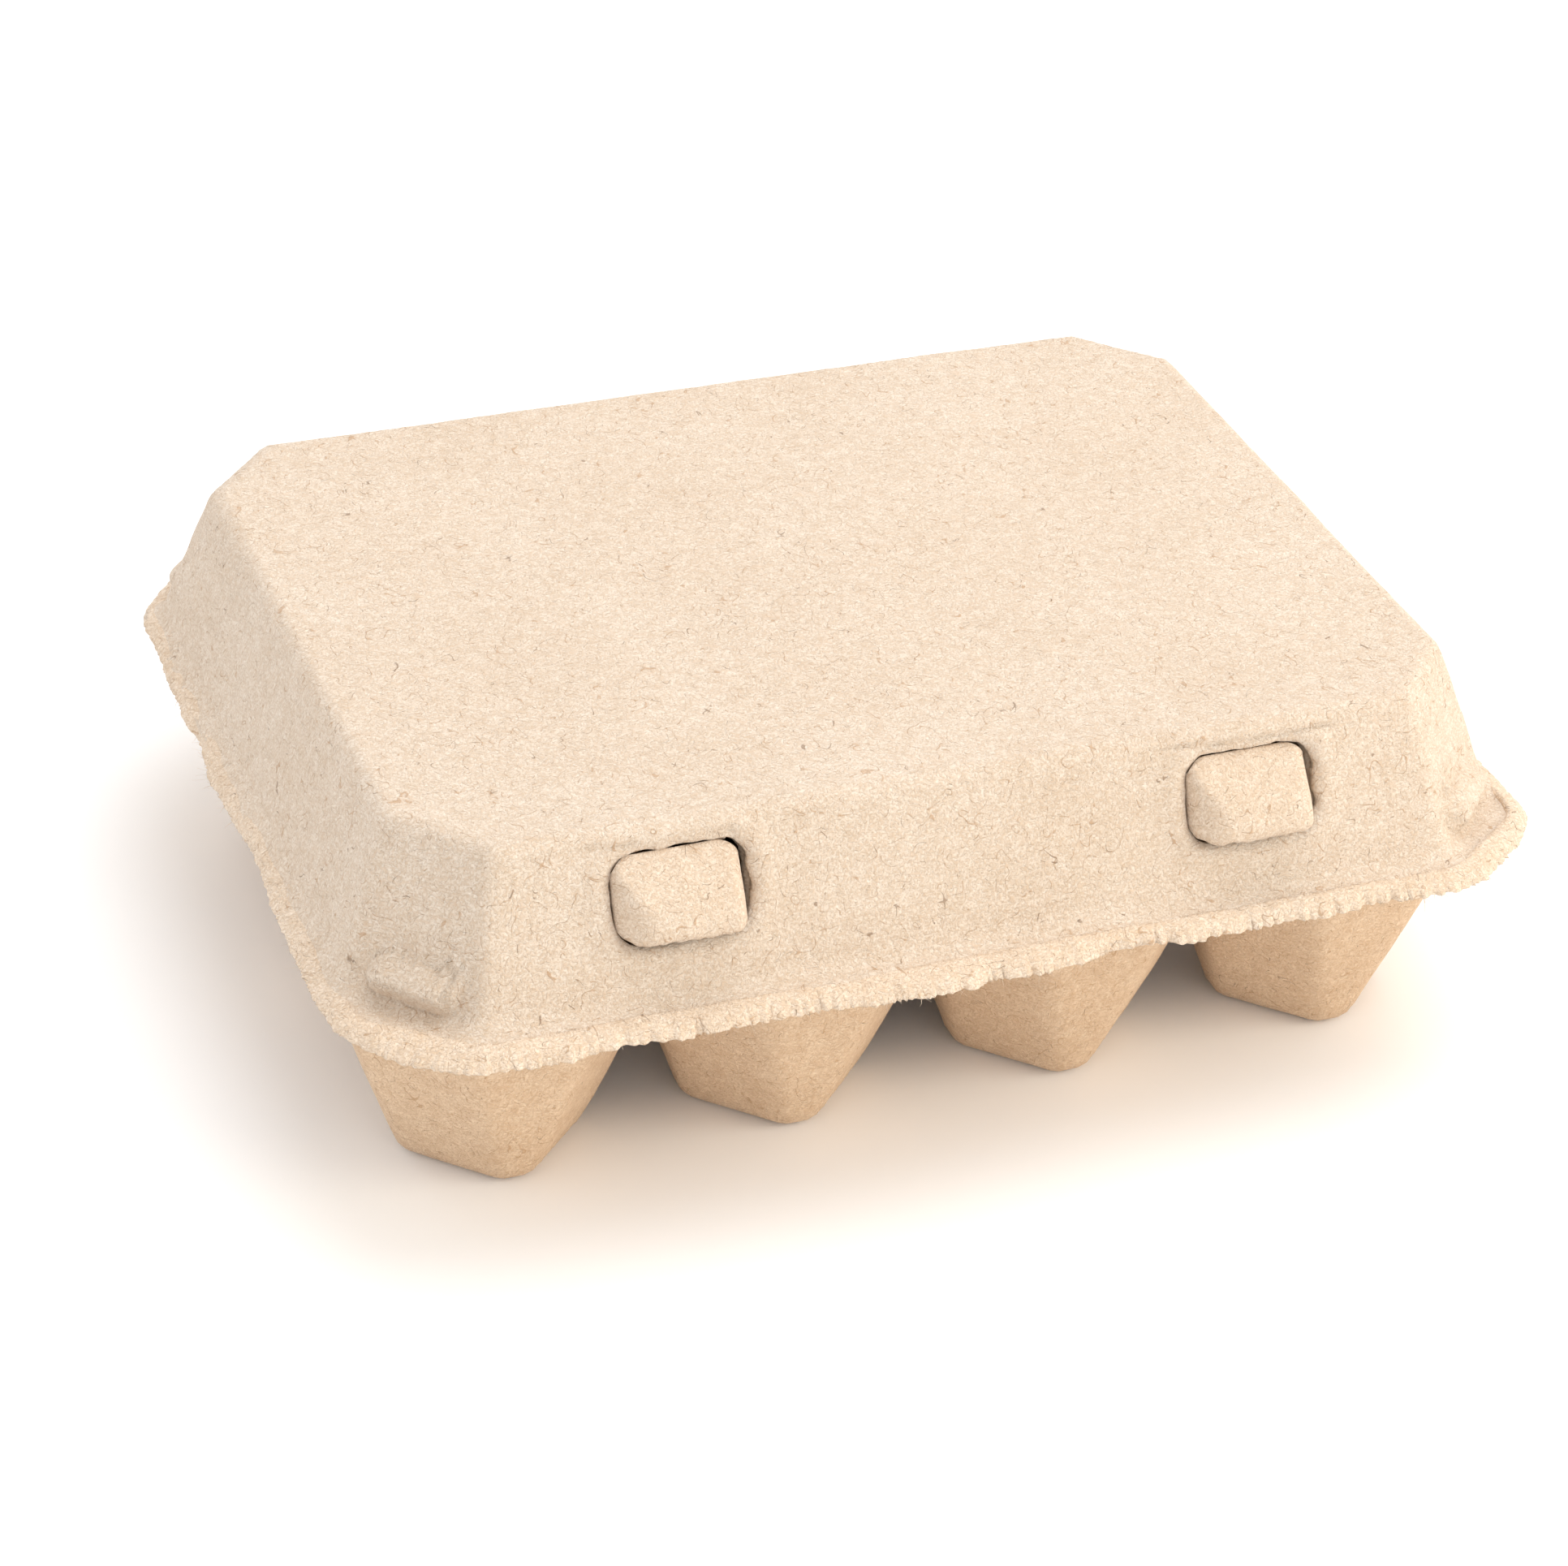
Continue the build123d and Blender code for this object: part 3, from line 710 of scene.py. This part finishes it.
def make_web(name, length, low, high, thick, seed, material):
    """A thin bent sheet along a hinge line. Its section is an arc a little over a half circle, which
    bulges outwards between low and high, two points one over the other."""
    low, high = np.array(low), np.array(high)
    middle, radius = (low + high) / 2, np.linalg.norm(high - low) / 2
    up = (high - low) / (2 * radius)
    out = np.array([up[1], -up[0]]) * (1 if middle[0] > 0 else -1) * np.sign(up[1])
    stations = spaced(-length / 2, 0.8, length / 2)
    rows = []
    for angle in np.radians(np.linspace(-125, 125, 15)):
        y, z = middle + radius * (out * cos(angle) + up * sin(angle))
        rows.append(np.column_stack([stations, np.full(len(stations), y), np.full(len(stations), z)]))
    points = np.stack(rows, axis=1).reshape(-1, 3)
    quads = grid_quads(len(stations), len(rows))
    points = points + normals(points, quads) * (0.1 * lumps(points, 2.0, seed))[:, None]
    points, faces = thickened(points, quads, thick, torn=0.1, seed=seed)
    obj = piece(name, points, faces, material)
    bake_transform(obj)
    return obj


# ---------------------------------------------------------------- flap and tabs

def flap_outside(x, rise):
    """Distance outside the locking flap, with a hole behind each tab."""
    tall = (FLAP_RISE[0] - 2 * FLAP_ROUND, FLAP_RISE[1])
    flat = np.stack([x, rise, 0 * x], axis=1)
    wander = 0.3 * lumps(flat, 8, 51)
    outline = rounded_rectangle(x, rise, FLAP_HALF_X, tall, FLAP_ROUND) + wander
    hole = rounded_rectangle(np.abs(x) - WINDOW_X, rise, HOLE_HALF, HOLE_RISE, HOLE_ROUND)
    return np.maximum(np.maximum(outline, FLAP_RISE[0] - rise), -hole)


def make_flap():
    """The locking flap as one sheet, which stands just inside the lid's front wall."""
    near, far = WINDOW_X - 12, WINDOW_X + 12
    edge = FLAP_HALF_X + 1
    xs = spaced(-edge, 0.9, -far, 0.5, -near, 1.2, near, 0.5, far, 0.9, edge)
    rises = spaced(FLAP_RISE[0] - 0.5, 0.6, FLAP_RISE[1] + 1)
    x, rise, quads = trimmed_grid(xs, rises, flap_outside)
    points = on_front(x, rise, FLAP_OUT + SHEET / 2)
    points = points + FRONT_OUT * layered(points, (0.12, 12, 52), (0.06, 2.5, 53))[:, None]
    points, faces = thickened(points, quads, SHEET, torn=0.2, seed=54)
    obj = piece("locking_flap_sheet", points, faces, FLAP_PULP)
    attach(obj, "flap")
    return obj


TAB_RISES = (9.4, 10.4, 11.9, 14.6, 18.5, 21.2, 23.1)
TAB_OUTS = (3.5, 4.5, 4.7, 4.1, 2.4, 0.9, -0.7)  # how far its middle stands out at each rise
TAB_SHOULDER, TAB_CHEEK, TAB_CHEEK_LEAST = 3.0, 5.5, 1.6  # widths of the slopes down to its two sides
TAB_EDGE_OUT, TAB_BACK_SHARE = -2.2, 0.86  # where its sides end, and how much shorter its back is
TAB_CUT = 4.6  # how far the cut over its lower left corner is from the middle of its lower edge
TAB_SHIFT = -0.5  # it sits hard against the window's left edge


def make_tab(side, x_middle, seed):
    """A pillow-shaped catch, hollow behind, that stands out through its window."""
    reach = TAB_HALF + 0.5
    xs = spaced(-reach, 0.42, reach)
    rises = spaced(TAB_RISE[0] - 0.5, 0.42, TAB_RISE[1] + 0.5)

    def outside(x, rise):
        flat = np.stack([x, rise, 0 * x + seed], axis=1)
        fray = smooth(14, 10, rise) * layered(flat, (0.3, 2.2, seed), (0.22, 0.8, seed + 1))
        lower_left = -0.6 * x - 0.8 * (rise - TAB_RISE[0]) - TAB_CUT
        return np.maximum(rounded_rectangle(x, rise, TAB_HALF, TAB_RISE, TAB_ROUND), lower_left) + fray

    x, rise, quads = trimmed_grid(xs, rises, outside)
    # The faces fall back towards the sides: a long slanting cheek on the left, a short one on the right.
    from_left, from_right = TAB_HALF + x, TAB_HALF - x
    cheek = TAB_CHEEK * smooth(21, 12, rise) + TAB_CHEEK_LEAST
    left = 1 - np.sqrt(np.clip(1 - np.clip(1 - from_left / cheek, 0, 1) ** 2, 0, 1))
    right = 1 - np.sqrt(np.clip(1 - np.clip(1 - from_right / TAB_SHOULDER, 0, 1) ** 2, 0, 1))
    middle_out = np.interp(rise, TAB_RISES, TAB_OUTS)
    out = middle_out - (left + right) * (middle_out - TAB_EDGE_OUT)
    flat = np.stack([x, rise, 0 * x], axis=1)
    out += layered(flat, (0.22, 6, seed + 2), (0.1, 2.0, seed + 3))
    middle_rise = sum(TAB_RISE) / 2
    x_middle += TAB_SHIFT
    front = on_front(x + x_middle, rise, out)
    narrower = x * (1 - TAB_SHEET / TAB_HALF)
    shorter = middle_rise + (rise - middle_rise) * TAB_BACK_SHARE
    back = on_front(narrower + x_middle, shorter, out - TAB_SHEET)
    rim = open_edges(quads)
    count = len(front)
    walls = np.stack([rim[:, 1], rim[:, 0], rim[:, 0] + count, rim[:, 1] + count], axis=1)
    faces = np.concatenate([quads, quads[:, ::-1] + count, walls])
    obj = piece(f"lock_tab_{side}_pad", np.concatenate([front, back]), faces, FLAP_PULP)
    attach(obj, f"tab_{side}")
    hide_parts(f"lock_tab_{side}")
    return obj


# ---------------------------------------------------------------- assembly

base_shell = make_base()
lid_shell = make_lid()
make_deckle()
flap_sheet = make_flap()
make_tab("left", -WINDOW_X, 61)
make_tab("right", WINDOW_X, 71)

BASE_STARTS = ("egg_cup", "divider_post", "rim_posts", "base_rim")
LID_NODES = [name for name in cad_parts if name.startswith(("lid_", "nesting_lug"))]
BASE_NODES = [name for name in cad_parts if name.startswith(BASE_STARTS)]
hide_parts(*BASE_NODES)
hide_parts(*LID_NODES)
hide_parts("locking_flap")

rear_low, rear_high = box_mm("rear_hinge_fold")
rear_middle = (rear_low + rear_high) / 2
rear_web = make_web(
    "rear_hinge_web", rear_high[0] - rear_low[0], (rear_middle[1], rear_middle[2] - WEB_RADIUS),
    (rear_middle[1], rear_middle[2] + WEB_RADIUS), WEB_SHEET, 81, SHADED_BASE_PULP,
)
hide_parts("rear_hinge_fold")
front_low, front_high = box_mm("front_hinge_fold")
front_middle = (front_low + front_high) / 2
front_web = make_web(
    "front_hinge_web", front_high[0] - front_low[0], (front_middle[1], front_middle[2] - WEB_RADIUS),
    (front_middle[1], front_middle[2] + WEB_RADIUS), WEB_SHEET, 82, SHADED_BASE_PULP,
)
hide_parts("front_hinge_fold")


# ---------------------------------------------------------------- floor, light and camera

def plain_material(name, colour):
    """One even, matt colour."""
    n = Nodes(name)
    n.shader.inputs["Base Color"].default_value = colour
    n.shader.inputs["Roughness"].default_value = 0.9
    return n.material


def make_floor():
    """A pale sheet that runs level under the carton and curves up far behind it."""
    half, ys = 3.0, spaced(-3.0, 0.5, 2.0)
    curve = [(2.0 + sin(a), 1 - cos(a)) for a in np.radians(np.linspace(10, 90, 9))]
    line = [(y, 0.0) for y in ys] + curve + [(3.0, 3.0)]
    points = np.array([(x, y, z) for y, z in line for x in (-half, half)]) / MM
    points[:, 2] -= 0.05
    white = plain_material("floor_white", srgb(253, 253, 253))
    piece("floor", points, grid_quads(len(line), 2)[:, ::-1], white)


def area_light(name, place, target, size, power, colour):
    """A round soft light at a place in metres, turned towards its target."""
    data = bpy.data.lights.new(name, "AREA")
    data.shape, data.size, data.energy, data.color = "DISK", size, power, colour
    lamp = bpy.data.objects.new(name, data)
    bpy.context.scene.collection.objects.link(lamp)
    lamp.location = place
    lamp.rotation_euler = (Vector(target) - Vector(place)).to_track_quat("-Z", "Y").to_euler()


def make_world(strength):
    """Even white light from all round."""
    world = bpy.data.worlds.new("studio")
    world.use_nodes = True
    background = world.node_tree.nodes["Background"]
    background.inputs["Color"].default_value = (1, 1, 1, 1)
    background.inputs["Strength"].default_value = strength
    bpy.context.scene.world = world


def make_camera(azimuth, elevation, roll, distance, target, lens):
    """A camera at a distance from its target, both in millimetres. Azimuth 0 looks along +Y."""
    a, e, r = (radians(angle) for angle in (azimuth, elevation, roll))
    back = Vector((sin(a) * cos(e), -cos(a) * cos(e), sin(e)))
    right = (-back).cross(Vector((0, 0, 1))).normalized()
    up = right.cross(-back)
    side = right * cos(r) + up * sin(r)
    top = up * cos(r) - right * sin(r)
    data = bpy.data.cameras.new("camera")
    data.lens, data.sensor_width = lens, 36.0
    data.clip_start, data.clip_end = 0.01, 50
    camera = bpy.data.objects.new("camera", data)
    bpy.context.scene.collection.objects.link(camera)
    turn = Matrix((side, top, back)).transposed().to_4x4()
    camera.matrix_world = Matrix.Translation(Vector(target) * MM + back * distance * MM) @ turn
    bpy.context.scene.camera = camera


make_floor()
bpy.context.scene.view_settings.view_transform = "Standard"
make_world(1.0)
area_light("key", (0.3, 0.1, 1.3), (0, 0, 0), size=1.2, power=7, colour=(1.0, 0.99, 0.99))
area_light("fill", (1.0, -0.7, 0.5), (0, 0, 0.03), size=0.8, power=7, colour=(1.0, 0.9, 0.72))
make_camera(
    azimuth=-21.212, elevation=32.101, roll=2.104, distance=725.66, target=(-7.384, -9.594, 30), lens=100.1
)
